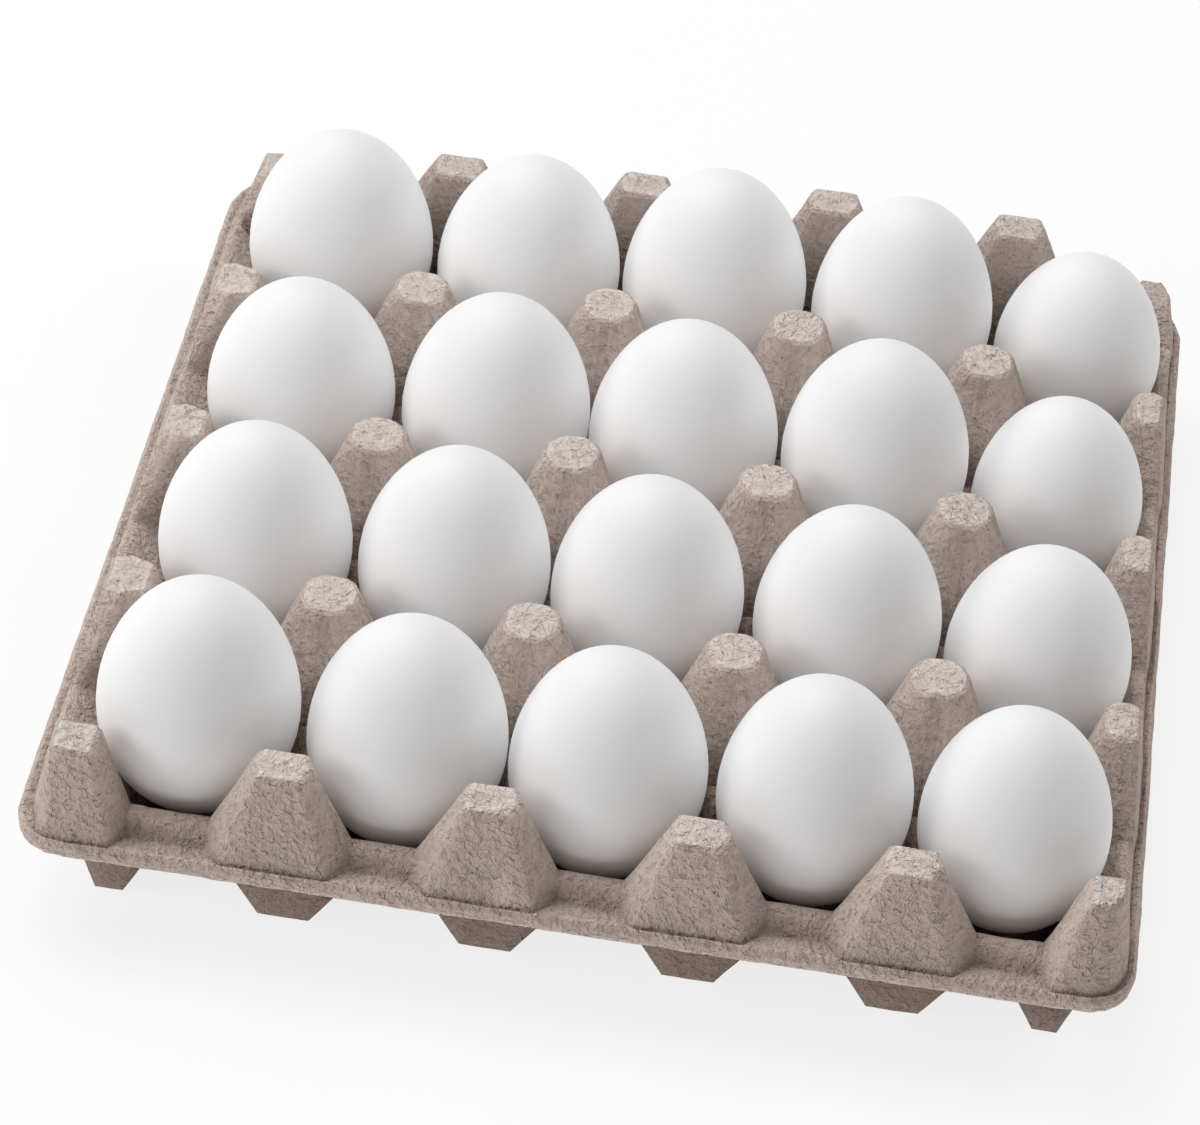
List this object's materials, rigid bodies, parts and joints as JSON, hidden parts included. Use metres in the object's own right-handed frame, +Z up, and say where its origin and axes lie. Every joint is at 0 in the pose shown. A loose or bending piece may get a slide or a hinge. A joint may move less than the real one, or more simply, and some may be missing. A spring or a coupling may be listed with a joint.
{
  "type": "egg carton with eggs",
  "caption": "Open moulded pulp egg tray with tapered posts between its cells and a white egg standing point up in every cell.",
  "frame": {"origin": "middle of the tray's rectangular outline, on the surface that the tray stands on", "axes": "+X along the tray's front edge, towards the edge with the smaller eggs; +Y away from the front edge; +Z up"},
  "size_m": [0.2568, 0.2518, 0.0792],
  "materials": {
    "pulp": "matte, moulded from grey-brown paper pulp",
    "eggshell": "smooth satin white shell"
  },
  "bodies": {
    "root": {"tray": "pulp", "egg_row1_1": "eggshell", "egg_row1_2": "eggshell", "egg_row1_3": "eggshell", "egg_row1_4": "eggshell", "egg_row1_5": "eggshell", "egg_row2_1": "eggshell", "egg_row2_2": "eggshell", "egg_row2_3": "eggshell", "egg_row2_4": "eggshell", "egg_row2_5": "eggshell", "egg_row3_1": "eggshell", "egg_row3_2": "eggshell", "egg_row3_3": "eggshell", "egg_row3_4": "eggshell", "egg_row3_5": "eggshell", "egg_row4_1": "eggshell", "egg_row4_2": "eggshell", "egg_row4_3": "eggshell", "egg_row4_4": "eggshell", "egg_row4_5": "eggshell"}
  },
  "joints": []
}
